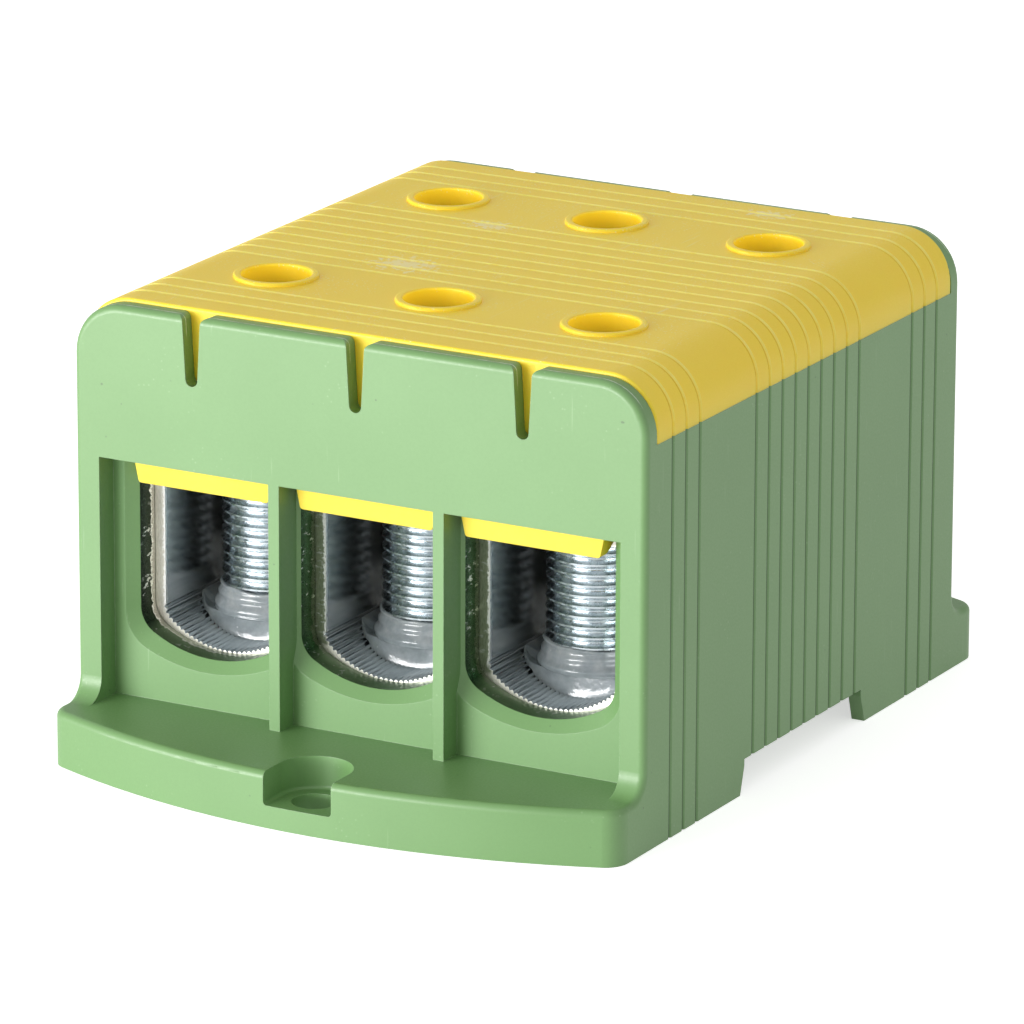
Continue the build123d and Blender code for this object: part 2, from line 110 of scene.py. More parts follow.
# Connector channel, as in the solids
CHANNEL_HALF = 10.0
CHANNEL_FLOOR = 15.1
CHANNEL_BELLY_RADIUS = 14.0
CHANNEL_CORNER = 2.8

# Places on the solids that the materials follow, in millimetres
POLE_PITCH = 26.0
PLATE_FACE = 47.2
SIDE_FACE = 45.0
GROOVE_PITCH = 3.88
END_GROOVE = 39.78
CONNECTOR_END = 38.2
KEY_HOLE_Y = 24.3
KEY_HOLE_REACH = 5.3
SAWN_SIDE_FOOT = 18.2
BURR_FOOT = 19.0
COAT_TONE_HEIGHT = 19.1
MOUTH_OUTER = 42.1
MOUTH_INNER = CONNECTOR_END
MOUTH_HEIGHTS = (9.0, 48.0)
MOUTH_LIMIT_X = 38.3
LEFT_POLE_LIMIT = -13.5
TOP_LINE_FOOT = 62.5
LID_TOP = 66.0
GROOVED_MIDDLE = 16.5
GROOVED_ENDS = (31.0, 41.0)

# Marks: centre and radii in millimetres
DARK_MARKS = [
    ((-40.5, -PLATE_FACE, 54.0), (0.30, 0.5, 0.25)),
    ((41.3, -PLATE_FACE, 60.2), (0.35, 0.6, 0.2)),
]
LID_SCUFFS = [
    ((-13.7, -9.8, LID_TOP), (5.0, 3.6, 1.5)),
    ((-13.8, 14.8, LID_TOP), (4.0, 2.2, 1.5)),
    ((18.2, 39.7, LID_TOP), (4.2, 1.8, 1.5)),
]

# Studio: the floor in metres, light levels, and each lamp's place, size and power in watts
FLOOR_SIZE = 6.0
FLOOR_GAP = 0.00002
FLOOR_LIFT = 0.6
WORLD_LEVEL = 0.67
LAMPS = [
    ("key", (-0.743, -1.286, 0.239), (1.0, 0.8), 11.8),
    ("low", (-0.449, -0.778, 0.077), (0.8, 0.12), 6.6),
]
LAMP_TARGET = (0.0, 0.0, 0.03)

# Camera: sensor and lens in millimetres, the rest in metres and degrees
CAMERA_SENSOR = 36.0
CAMERA_LENS = 285.98
CAMERA_NEAR = 0.05
CAMERA_FAR = 20.0
CAMERA_PLACE = (0.53493, -0.96434, 0.36184)
CAMERA_TURN = (73.214, -0.173, 29.153)


def rgb(red, green, blue):
    """An opaque colour."""
    return (red, green, blue, 1.0)


# Colours of the green plastic; a pair is the range of a mottled colour
GREENS = rgb(0.142, 0.286, 0.097), rgb(0.154, 0.304, 0.107)
GREEN_GRAIN = rgb(0.08, 0.16, 0.05)
PALE_GREEN = rgb(0.74, 0.86, 0.70)
GREEN_DIRT = rgb(0.02, 0.035, 0.02)
# Painted shade for the bottoms of the side grooves
GROOVE_PAINTED_SHADE = rgb(0.03, 0.075, 0.02)

# Colours in the entries, each pair the left pole's then the other poles': painted shade on the
# inner walls and a painted reflection of the sawn ends; then a painted highlight and pale flecks
ENTRY_SHADES = rgb(0.002, 0.005, 0.001), rgb(0.014, 0.055, 0.013)
ENTRY_REFLECTED_METALS = rgb(0.50, 0.48, 0.42), rgb(0.11, 0.14, 0.09)
ENTRY_RIM_HIGHLIGHT = rgb(0.95, 0.95, 0.88)
ENTRY_PALE_FLECKS = rgb(0.75, 0.78, 0.70)

# Colours of the yellow plastic
YELLOWS = rgb(0.970, 0.675, 0.032), rgb(0.985, 0.705, 0.042)
YELLOW_GRAIN = rgb(0.62, 0.42, 0.02)
YELLOW_WORN = rgb(0.93, 0.88, 0.62)
# Painted highlight on the grooves' rear edges and painted shade in their bottoms
YELLOW_PAINTED_HIGHLIGHT = rgb(1.0, 0.88, 0.26)
YELLOW_PAINTED_SHADE = rgb(0.50, 0.33, 0.015)
# Painted glow in the key holes
YELLOW_PAINTED_GLOW = rgb(1.0, 0.60, 0.01)

# Colours of the metals
TINS = rgb(0.70, 0.74, 0.76), rgb(0.90, 0.92, 0.91)
# Painted shade deep in the tubes
TIN_DEEP_SHADE = rgb(0.25, 0.22, 0.19)
TIN_BURR = rgb(1.0, 1.0, 0.97)
SAWN_PALES = rgb(0.66, 0.64, 0.56), rgb(0.90, 0.88, 0.80)
# Painted shade on the other poles' sawn ends
SAWN_SHADED_OLIVES = rgb(0.20, 0.24, 0.16), rgb(0.34, 0.38, 0.27)
SAWN_SCORES = rgb(0.85, 0.85, 0.80)
ZINCS = rgb(0.42, 0.48, 0.51), rgb(0.60, 0.65, 0.68)
ZINC_FLECKS = rgb(0.97, 0.98, 0.98)
# Painted highlight on the thread crests
ZINC_CREST_HIGHLIGHT = rgb(0.92, 0.94, 0.95)
SPRINGS = rgb(0.34, 0.35, 0.37), rgb(0.50, 0.51, 0.53)

# Colours of the grease, and of the studio
POOL_GREYS = rgb(0.17, 0.20, 0.215), rgb(0.26, 0.295, 0.31)
COAT_GREYS = rgb(0.20, 0.23, 0.25), rgb(0.33, 0.355, 0.365)
GREASE_BUBBLES = rgb(0.70, 0.73, 0.74)
FLOOR_GREY = rgb(0.90, 0.90, 0.90)
WHITE = rgb(1.0, 1.0, 1.0)


class Nodes:
    """A material's node tree, with short calls for the nodes used here."""

    def __init__(self, name):
        self.material = bpy.data.materials.new(name)
        self.material.use_nodes = True
        self.tree = self.material.node_tree
        self.shader = self.tree.nodes["Principled BSDF"]
        self.place = self.add("ShaderNodeTexCoord").outputs["Object"]

    def add(self, kind, **settings):
        """A new node with its settings made."""
        node = self.tree.nodes.new(kind)
        for key, value in settings.items():
            setattr(node, key, value)
        return node

    def feed(self, socket, value):
        """Links a socket, or sets its value."""
        if isinstance(value, bpy.types.NodeSocket):
            self.tree.links.new(value, socket)
        else:
            socket.default_value = value

    def set(self, **values):
        """Feeds the shader's inputs, named with underscores for spaces."""
        for key, value in values.items():
            self.feed(self.shader.inputs[key.replace("_", " ")], value)

    def math(self, operation, a, b=0.0):
        """One operation on one or two values."""
        node = self.add("ShaderNodeMath", operation=operation)
        self.feed(node.inputs[0], a)
        self.feed(node.inputs[1], b)
        return node.outputs[0]

    def vector_math(self, operation, a, b=(0.0, 0.0, 0.0)):
        """One operation on one or two vectors."""
        node = self.add("ShaderNodeVectorMath", operation=operation)
        self.feed(node.inputs[0], a)
        self.feed(node.inputs[1], b)
        return node.outputs["Value" if operation in ("LENGTH", "DOT_PRODUCT") else "Vector"]

    def noise(self, per_mm, detail=2.0, roughness=0.5, place=None):
        """Noise with about that many blobs in a millimetre."""
        node = self.add("ShaderNodeTexNoise")
        self.feed(node.inputs["Vector"], place or self.place)
        self.feed(node.inputs["Scale"], per_mm / MM)
        self.feed(node.inputs["Detail"], detail)
        self.feed(node.inputs["Roughness"], roughness)
        return node.outputs["Fac"]

    def patches(self, per_mm, low, high, detail=2.0, roughness=0.5):
        """Soft patches: 1 where the noise is above high, and 0 where it is below low."""
        return self.span(self.noise(per_mm, detail, roughness), low, high)

    def dots(self, per_mm, rim, core):
        """Scattered dots: 1 inside the core and 0 outside the rim, in cells."""
        node = self.add("ShaderNodeTexVoronoi")
        self.feed(node.inputs["Vector"], self.place)
        self.feed(node.inputs["Scale"], per_mm / MM)
        return self.span(node.outputs["Distance"], rim, core)

    def span(self, value, low, high, to_low=0.0, to_high=1.0):
        """Maps low..high to to_low..to_high, with no overshoot."""
        node = self.add("ShaderNodeMapRange", clamp=True)
        self.feed(node.inputs["Value"], value)
        self.feed(node.inputs["From Min"], low)
        self.feed(node.inputs["From Max"], high)
        self.feed(node.inputs["To Min"], to_low)
        self.feed(node.inputs["To Max"], to_high)
        return node.outputs["Result"]

    def blend(self, factor, a, b):
        """Mixes two colours."""
        node = self.add("ShaderNodeMix", data_type="RGBA")
        self.feed(node.inputs["Factor"], factor)
        self.feed(node.inputs["A"], a)
        self.feed(node.inputs["B"], b)
        return node.outputs["Result"]

    def stretch(self, x, y, z):
        """The place with each axis scaled, for streaks."""
        return self.vector_math("MULTIPLY", self.place, (x, y, z))

    def edge(self, radius_mm, low=0.90, high=0.55):
        """1 on sharp edges and 0 on flat faces, from a rounded normal."""
        true = self.add("ShaderNodeNewGeometry").outputs["Normal"]
        turn = self.vector_math("DOT_PRODUCT", self.rounded(radius_mm), true)
        return self.span(turn, low, high)

    def spot(self, centre_mm, radii_mm, ragged=0.5, per_mm=0.6):
        """1 inside a ragged spot round a point of the object, 0 outside it."""
        centre = tuple(v * MM for v in centre_mm)
        scale = tuple(1 / (v * MM) for v in radii_mm)
        offset = self.vector_math("SUBTRACT", self.place, centre)
        reach = self.vector_math("LENGTH", self.vector_math("MULTIPLY", offset, scale))
        wobble = self.span(self.noise(per_mm, 4.0, 0.6), 0.3, 0.7, -ragged, ragged)
        return self.span(self.math("ADD", reach, wobble), 1.0, 0.5)

    def signed_axes(self):
        """The place's X, Y and Z in millimetres."""
        parts = self.add("ShaderNodeSeparateXYZ")
        self.feed(parts.inputs[0], self.stretch(1 / MM, 1 / MM, 1 / MM))
        return list(parts.outputs)

    def axes(self):
        """The place's X, the distance from the middle in Y, and Z, in millimetres."""
        x, y, z = self.signed_axes()
        return x, self.magnitude(y), z

    def facing(self):
        """How much the surface faces along X, Y and Z, from 0 to 1."""
        parts = self.add("ShaderNodeSeparateXYZ")
        self.feed(parts.inputs[0], self.add("ShaderNodeNewGeometry").outputs["Normal"])
        return [self.magnitude(out) for out in parts.outputs]

    def magnitude(self, value):
        """A value without its sign."""
        return self.math("ABSOLUTE", value)

    def nearest(self, value, pitch):
        """The multiple of a pitch that is nearest to a value."""
        return self.math("MULTIPLY", self.math("ROUND", self.math("DIVIDE", value, pitch)), pitch)

    def most(self, first, *others):
        """The highest of several values."""
        for other in others:
            first = self.math("MAXIMUM", first, other)
        return first

    def product(self, first, *others):
        """Several values multiplied."""
        for other in others:
            first = self.math("MULTIPLY", first, other)
        return first

    def band(self, value, low, high, soft):
        """1 between two values and 0 outside them."""
        rise = self.span(value, low - soft, low + soft)
        return self.product(rise, self.span(value, high - soft, high + soft, 1.0, 0.0))

    def groove(self, offset_mm, half_mm):
        """1 on a line along each groove, at an offset from its bottom."""
        along = self.math("SUBTRACT", self.signed_axes()[1], offset_mm)
        inner, outer = GROOVED_ENDS
        middle = self.near_line(along, 0.0, half_mm)
        middle = self.product(middle, self.band(along, -GROOVED_MIDDLE, GROOVED_MIDDLE, 0.1))
        front = self.near_line(along, -END_GROOVE, half_mm)
        front = self.product(front, self.band(along, -outer, -inner, 0.1))
        rear = self.near_line(along, END_GROOVE, half_mm)
        rear = self.product(rear, self.band(along, inner, outer, 0.1))
        return self.most(middle, front, rear)

    def near_line(self, value, start, half):
        """1 near the values that lie whole pitches from a start."""
        value = self.math("SUBTRACT", value, start)
        gap = self.magnitude(self.math("SUBTRACT", value, self.nearest(value, GROOVE_PITCH)))
        return self.span(gap, half * 1.3, half * 0.7)

    def tilted(self, degrees, scale):
        """The place turned and then scaled, for slanted streaks."""
        node = self.add("ShaderNodeMapping")
        self.feed(node.inputs["Vector"], self.place)
        self.feed(node.inputs["Rotation"], tuple(math.radians(v) for v in degrees))
        self.feed(node.inputs["Scale"], scale)
        return node.outputs["Vector"]

    def rounded(self, radius_mm):
        """A normal that is softened near edges."""
        node = self.add("ShaderNodeBevel", samples=BEVEL_SAMPLES)
        self.feed(node.inputs["Radius"], radius_mm * MM)
        return node.outputs["Normal"]

    def bump(self, height, strength, distance_mm, normal=None):
        """A normal raised and lowered by a height, on top of another normal."""
        node = self.add("ShaderNodeBump")
        self.feed(node.inputs["Height"], height)
        self.feed(node.inputs["Strength"], strength)
        self.feed(node.inputs["Distance"], distance_mm * MM)
        if normal:
            self.feed(node.inputs["Normal"], normal)
        return node.outputs["Normal"]


def green_plastic():
    """Satin moulded polyamide with worn edges, specks and dark marks, painted shade in the side
    grooves, and painted shade, reflection and highlight on the entry walls.
    """
    n = Nodes("green_plastic")
    x, y, z = n.axes()
    cloud = n.patches(0.05, 0.3, 0.7, 3.0)
    colour = n.blend(cloud, *GREENS)
    grain = n.patches(3.0, 0.35, 0.65, 3.0, 0.6)
    colour = n.blend(n.product(grain, 0.06), colour, GREEN_GRAIN)

    # Worn edges, the line behind the end plates' rounded top, pale specks and dark marks
    ragged = n.patches(0.35, 0.36, 0.58, 4.0, 0.7)
    worn = n.product(n.edge(0.16), ragged)
    colour = n.blend(n.product(worn, 0.6), colour, PALE_GREEN)
    top_line = n.band(y, PLATE_FACE - 1.22, PLATE_FACE - 1.04, 0.06)
    top_line = n.product(top_line, n.span(z, TOP_LINE_FOOT - 0.5, TOP_LINE_FOOT + 0.5), ragged)
    colour = n.blend(n.product(top_line, 0.7), colour, PALE_GREEN)
    specks = n.product(n.dots(0.9, 0.16, 0.08), n.patches(0.12, 0.53, 0.62))
    colour = n.blend(n.product(specks, 0.08), colour, PALE_GREEN)
    scratches = n.noise(2.2, 2.0, 0.5, n.tilted((0.0, 35.0, 0.0), (1.0, 1.0, 0.04)))
    scratches = n.product(n.span(scratches, 0.70, 0.74), n.patches(0.08, 0.5, 0.6))
    colour = n.blend(n.product(scratches, 0.08), colour, PALE_GREEN)
    dirt = n.product(n.dots(0.35, 0.06, 0.03), n.patches(0.10, 0.55, 0.62))
    for centre, radii in DARK_MARKS:
        dirt = n.most(dirt, n.spot(centre, radii))
    colour = n.blend(n.product(dirt, 0.5), colour, GREEN_DIRT)

    # Painted shade in the bottoms of the side grooves
    on_side = n.span(n.magnitude(x), SIDE_FACE - 0.6, SIDE_FACE - 0.45)
    colour = n.blend(n.product(n.groove(0.0, 0.20), on_side, 0.85), colour, GROOVE_PAINTED_SHADE)

    # Painted shade on the entries' inner walls, which are also made metallic and glossier to mirror
    # darkly, and a painted reflection of the sawn ends next to them
    facing = n.facing()
    inside = n.span(n.magnitude(x), MOUTH_LIMIT_X + 0.1, MOUTH_LIMIT_X - 0.1)
    wall = n.band(y, MOUTH_INNER - 0.3, MOUTH_OUTER, 0.05)
    wall = n.product(wall, n.band(z, *MOUTH_HEIGHTS, 0.5))
    wall = n.product(wall, n.span(facing[1], 0.5, 0.3), inside)
    wall = n.product(wall, n.span(facing[2], 0.6, 0.95, 1.0, 0.45))
    right_poles = n.span(x, LEFT_POLE_LIMIT - 0.5, LEFT_POLE_LIMIT + 0.5)
    # Painted shade, darkest on the left pole
    shade = n.blend(right_poles, *ENTRY_SHADES)
    colour = n.blend(n.product(wall, 0.93), colour, shade)
    fringe = n.math("ADD", y, n.span(n.noise(0.9, 4.0, 0.7), 0.3, 0.7, -0.5, 0.5))
    # Painted reflection of the sawn ends on the walls next to them
    painted_reflection = n.product(wall, n.span(fringe, MOUTH_INNER + 1.2, MOUTH_INNER + 0.9))
    reflected_metal = n.blend(right_poles, *ENTRY_REFLECTED_METALS)
    colour = n.blend(painted_reflection, colour, reflected_metal)
    # Painted highlight along the painted reflection's edge, on the left pole only
    rim = n.product(wall, n.band(fringe, MOUTH_INNER + 0.85, MOUTH_INNER + 1.1, 0.06))
    rim = n.product(rim, n.span(x, LEFT_POLE_LIMIT + 0.5, LEFT_POLE_LIMIT - 0.5))
    colour = n.blend(rim, colour, ENTRY_RIM_HIGHLIGHT)
    # Pale flecks scattered over the entry walls
    pale_flecks = n.noise(1.1, 3.0, 0.7, n.stretch(1.0, 0.5, 1.0))
    pale_flecks = n.product(wall, n.span(pale_flecks, 0.58, 0.64), n.patches(0.25, 0.45, 0.58))
    colour = n.blend(n.product(pale_flecks, 0.8), colour, ENTRY_PALE_FLECKS)
    gloss = n.span(grain, 0.0, 1.0, 0.40, 0.50)
    n.set(Base_Color=colour, Roughness=n.math("SUBTRACT", gloss, n.product(wall, 0.16)))
    n.set(Metallic=wall, Specular_IOR_Level=0.75)
    n.set(Normal=n.bump(n.noise(5.0, 4.0, 0.65), 0.22, 0.02, n.rounded(0.14)))
    return n.material


def yellow_plastic():
    """Satin moulded polyamide, slightly translucent, with pale scuffs on the lid's top, painted
    highlight and shade in the grooves, and a painted glow in the key holes.
    """
    n = Nodes("yellow_plastic")
    x, y, z = n.axes()
    cloud = n.patches(0.05, 0.3, 0.7, 3.0)
    colour = n.blend(cloud, *YELLOWS)
    grain = n.patches(4.0, 0.35, 0.65, 3.0, 0.6)
    colour = n.blend(n.product(grain, 0.06), colour, YELLOW_GRAIN)
    top = n.span(z, LID_TOP - 0.4, LID_TOP - 0.1)
    dust = n.product(n.dots(1.8, 0.26, 0.12), n.patches(0.16, 0.42, 0.56, 3.0), top)
    scuffs = n.noise(1.4, 3.0, 0.6, n.tilted((0.0, 0.0, 40.0), (1.0, 0.08, 1.0)))
    scuffs = n.product(n.span(scuffs, 0.60, 0.74), n.patches(0.07, 0.48, 0.60), top, 0.4)
    for centre, radii in LID_SCUFFS:
        scuffs = n.most(scuffs, n.product(n.spot(centre, radii, 0.9, 1.2), 0.8))
    worn = n.product(n.edge(0.12), n.patches(0.5, 0.40, 0.60, 4.0, 0.7))
    pale = n.most(n.product(dust, 0.5), n.product(scuffs, 0.6), n.product(worn, 0.35))
    colour = n.blend(pale, colour, YELLOW_WORN)

    # Painted highlight on each groove's rear edge, fading lower down, and painted shade in its
    # bottom
    ragged = n.span(n.noise(0.8, 3.0), 0.25, 0.5, 0.5, 1.0)
    upper = n.span(z, LID_TOP - 10.0, LID_TOP - 2.0, 0.15, 1.0)
    groove_highlight = n.product(n.groove(0.36, 0.15), upper, ragged, 0.75)
    colour = n.blend(groove_highlight, colour, YELLOW_PAINTED_HIGHLIGHT)
    colour = n.blend(n.product(n.groove(0.0, 0.15), 0.45), colour, YELLOW_PAINTED_SHADE)
    n.set(Base_Color=colour, Roughness=n.span(grain, 0.0, 1.0, 0.38, 0.48), Specular_IOR_Level=0.5)

    # A painted glow in the key holes: an emission that stands in for light coming through their
    # thin walls
    across = n.math("SUBTRACT", x, n.nearest(x, POLE_PITCH))
    along = n.math("SUBTRACT", y, KEY_HOLE_Y)
    from_hole = n.math("SQRT", n.math("ADD", n.product(across, across), n.product(along, along)))
    bore_glow = n.span(from_hole, KEY_HOLE_REACH + 0.1, KEY_HOLE_REACH - 0.1)
    bore_glow = n.product(bore_glow, n.span(n.facing()[2], 0.7, 0.3), n.span(z, LID_TOP - 4.0, LID_TOP))
    n.set(Emission_Color=YELLOW_PAINTED_GLOW, Emission_Strength=n.product(bore_glow, 0.34))
    n.material.cycles.emission_sampling = "NONE"
    n.set(Subsurface_Weight=0.35, Subsurface_Radius=(3.0, 2.0, 0.12), Subsurface_Scale=MM)
    n.set(Normal=n.bump(n.noise(5.0, 4.0, 0.65), 0.3, 0.02, n.rounded(0.14)))
    return n.material


def tinned_aluminium():
    """Tin-plated aluminium: walls drawn along their length, sawn ends and bright burrs, with
    painted shade deep in the tubes and on some sawn ends.
    """
    n = Nodes("tinned_aluminium")
    x, y, z = n.axes()
    from_pole = n.magnitude(n.math("SUBTRACT", x, n.nearest(x, POLE_PITCH)))
    drawn = n.noise(3.5, 4.0, 0.6, n.stretch(1.0, 0.02, 1.0))
    broad = n.noise(0.5, 3.0, 0.6, n.stretch(1.0, 0.05, 1.0))
    tone = n.span(n.math("ADD", drawn, broad), 0.6, 1.4)
    colour = n.blend(tone, *TINS)
    # Painted shade, darker deeper into the tubes
    deep_shade = n.span(y, CONNECTOR_END - 5.0, CONNECTOR_END - 13.0)
    colour = n.blend(n.product(deep_shade, 0.35), colour, TIN_DEEP_SHADE)

    # The sawn end: pale below and on the left pole, painted shade in olive on the other poles'
    # sides
    end = n.span(y, CONNECTOR_END - 0.08, CONNECTOR_END - 0.02)
    end = n.product(end, n.span(n.facing()[1], 0.5, 0.8))
    saw = n.noise(5.0, 4.0, 0.7, n.tilted((0.0, 50.0, 0.0), (1.0, 1.0, 0.25)))
    pale = n.blend(n.span(saw, 0.3, 0.7), *SAWN_PALES)
    shaded_olive = n.blend(n.span(saw, 0.35, 0.65), *SAWN_SHADED_OLIVES)
    right_poles = n.span(x, LEFT_POLE_LIMIT - 0.5, LEFT_POLE_LIMIT + 0.5)
    shaded_sides = n.span(from_pole, CHANNEL_HALF - 0.4, CHANNEL_HALF - 0.1)
    shaded_sides = n.product(shaded_sides, n.span(z, SAWN_SIDE_FOOT, SAWN_SIDE_FOOT + 0.5), right_poles)
    sawn = n.blend(shaded_sides, pale, shaded_olive)
    scored = n.span(n.noise(1.6, 3.0, 0.7, n.stretch(0.5, 1.0, 1.0)), 0.56, 0.66)
    scored = n.product(scored, shaded_sides, n.patches(0.3, 0.45, 0.58))
    sawn = n.blend(n.product(scored, 0.7), sawn, SAWN_SCORES)
    colour = n.blend(end, colour, sawn)
    ragged = n.span(n.noise(1.3, 4.0, 0.7), 0.3, 0.7, -0.3, 0.3)
    burr = n.math("ADD", from_pole, ragged)
    burr = n.band(burr, CHANNEL_HALF - 0.15, CHANNEL_HALF + 0.3, 0.08)
    at_end = n.span(y, CONNECTOR_END - 0.5, CONNECTOR_END - 0.3)
    burr = n.product(burr, at_end, n.span(z, BURR_FOOT, BURR_FOOT + 1.0))
    burr = n.most(burr, n.product(n.edge(0.22, 0.95, 0.75), end))
    colour = n.blend(burr, colour, TIN_BURR)
    rough = n.span(drawn, 0.3, 0.7, 0.17, 0.22)
    rough = n.math("ADD", rough, n.product(n.most(end, burr), 0.25))
    n.set(Base_Color=colour, Metallic=1.0, Roughness=rough)
    n.set(Normal=n.bump(drawn, 0.12, 0.02, n.bump(saw, n.product(end, 0.5), 0.02)))
    return n.material


def zinc_steel():
    """Bright zinc plating with a cool tint, slightly mottled gloss, small bright flecks and a
    painted highlight on the thread crests.
    """
    n = Nodes("zinc_steel")
    mottle = n.patches(0.9, 0.3, 0.7, 4.0, 0.6)
    colour = n.blend(mottle, *ZINCS)
    flecks = n.product(n.dots(1.3, 0.14, 0.08), n.patches(0.5, 0.48, 0.58))
    colour = n.blend(n.product(flecks, 0.8), colour, ZINC_FLECKS)
    # Painted highlight on the thread crests
    crests = n.edge(0.10)
    colour = n.blend(n.product(crests, 0.6), colour, ZINC_CREST_HIGHLIGHT)
    n.set(Base_Color=colour, Metallic=1.0, Roughness=n.span(mottle, 0.0, 1.0, 0.20, 0.34))
    n.set(Normal=n.bump(n.noise(2.5, 4.0, 0.6), 0.2, 0.03))
    return n.material


def spring_steel():
    """Plain spring strip, grey, with rolling marks along it."""
    n = Nodes("spring_steel")
    rolling = n.noise(4.0, 3.0, 0.6, n.stretch(1.0, 0.05, 1.0))
    colour = n.blend(n.span(rolling, 0.3, 0.7), *SPRINGS)
    n.set(Base_Color=colour, Metallic=1.0, Roughness=0.34)
    n.set(Normal=n.bump(rolling, 0.3, 0.02))
    return n.material


def contact_grease():
    """Wet grey grease: an opaque pool, and a paler coat on the screws."""
    n = Nodes("contact_grease")
    z = n.signed_axes()[2]
    cloud = n.patches(0.5, 0.3, 0.7, 4.0, 0.6)
    bubbles = n.product(n.dots(1.1, 0.16, 0.10), n.patches(0.3, 0.5, 0.6))
    colour = n.blend(cloud, *POOL_GREYS)
    coat = n.blend(cloud, *COAT_GREYS)
    in_coat = n.span(z, COAT_TONE_HEIGHT - 0.5, COAT_TONE_HEIGHT + 0.5)
    colour = n.blend(in_coat, colour, coat)
    colour = n.blend(n.product(bubbles, 0.4), colour, GREASE_BUBBLES)
    n.set(Base_Color=colour, Roughness=0.12, Specular_IOR_Level=0.6)
    n.set(Subsurface_Weight=0.3, Subsurface_Radius=(1.0, 1.0, 1.0), Subsurface_Scale=MM)
    n.set(Normal=n.bump(n.noise(0.8, 3.0, 0.5), 0.30, 0.15))
    return n.material


def make_piece(name, points, faces, material, body, sharp_degrees):
    """A mesh piece from points in millimetres, closed, welded and smoothed, riding on a body."""
    mesh = bpy.data.meshes.new(name)
    work = bmesh.new()
    corners = [work.verts.new(Vector(p) * MM) for p in points]
    for face in faces:
        work.faces.new([corners[i] for i in face])
    bmesh.ops.remove_doubles(work, verts=work.verts, dist=WELD)
    bmesh.ops.dissolve_degenerate(work, edges=work.edges, dist=WELD)
    bmesh.ops.recalc_face_normals(work, faces=work.faces)
    work.to_mesh(mesh)
    work.free()
    mesh.shade_smooth()
    mesh.set_sharp_from_angle(angle=math.radians(sharp_degrees))
    mesh.materials.append(material)
    piece = bpy.data.objects.new(name, mesh)
    bpy.context.scene.collection.objects.link(piece)
    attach(piece, body)
    return piece


def ring_faces(rings, steps):
    """Quads between rings of points, each closed round, numbered ring by ring."""
    faces = []
    for k in range(rings - 1):
        for i in range(steps):
            j = (i + 1) % steps
            faces.append((k * steps + i, k * steps + j, (k + 1) * steps + j, (k + 1) * steps + i))
    return faces


def node_centre(node):
    """A node's middle in X and Y, and its lowest and highest Z, in millimetres."""
    low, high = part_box(node)
    middle = (low + high) / (2 * MM)
    return middle.x, middle.y, low.z / MM, high.z / MM


def thread_radius(z, share, radius, tip, top):
    """The radius on the thread at a height, with the chamfers and the end faces."""
    crest = radius - THREAD_DEPTH * share
    if z > top:
        return max(SOCKET_RING, radius - END_CHAMFER - END_FACE_SLOPE * (z - top))
    if z < tip:
        return max(TIP_RING, radius - END_CHAMFER - END_FACE_SLOPE * (tip - z))
    return min(crest, radius - END_CHAMFER + min(top - z, z - tip))


def clamp_screw(node, turn):
    """A set screw with a real helical thread, flat tip and hexagon socket."""
    x, y, tip, top = node_centre(node)
    low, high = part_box(node)
    radius = (high.x - low.x) / (2 * MM)
    per_turn = len(THREAD_PROFILE)
    turns = math.ceil((top - tip) / THREAD_PITCH) + 2 * EXTRA_TURNS
    rows = turns * per_turn + 1
    start = tip - EXTRA_TURNS * THREAD_PITCH
    points = []
    for row in range(rows):
        share, depth = THREAD_PROFILE[row % per_turn]
        for i in range(THREAD_STEPS):
            z = start + THREAD_PITCH * (row // per_turn + share + i / THREAD_STEPS)
            r = thread_radius(z, depth, radius, tip, top)
            angle = turn + TURN * i / THREAD_STEPS
            points.append((x + r * math.cos(angle), y + r * math.sin(angle), min(max(z, tip), top)))
    faces = []
    for row in range(rows - 1):
        for i in range(THREAD_STEPS):
            last = i == THREAD_STEPS - 1
            shift = per_turn * THREAD_STEPS - THREAD_STEPS + 1 if last else 1
            a = row * THREAD_STEPS + i
            b = a + shift
            if b + THREAD_STEPS < rows * THREAD_STEPS:
                faces.append((a, b, b + THREAD_STEPS, a + THREAD_STEPS))
    end_ring = [(rows - 1) * THREAD_STEPS + i for i in range(THREAD_STEPS)]
    for z in (top, top - SOCKET_DEPTH):
        ring = []
        for i in range(THREAD_STEPS):
            around = TURN * i / THREAD_STEPS
            r = SOCKET_APOTHEM / math.cos((around + SIXTH / 2) % SIXTH - SIXTH / 2)
            ring.append(len(points))
            points.append((x + r * math.cos(turn + around), y + r * math.sin(turn + around), z))
        for i in range(THREAD_STEPS):
            j = (i + 1) % THREAD_STEPS
            faces.append((end_ring[i], end_ring[j], ring[j], ring[i]))
        end_ring = ring
    points.append((x, y, top - SOCKET_DEPTH - SOCKET_CONE))
    points.append((x, y, tip))
    for i in range(THREAD_STEPS):
        j = (i + 1) % THREAD_STEPS
        faces.append((end_ring[i], end_ring[j], len(points) - 2))
        faces.append((j, i, len(points) - 1))
    piece = make_piece(node + "_thread", points, faces, zinc, node, SCREW_SHARP)
    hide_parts(node)


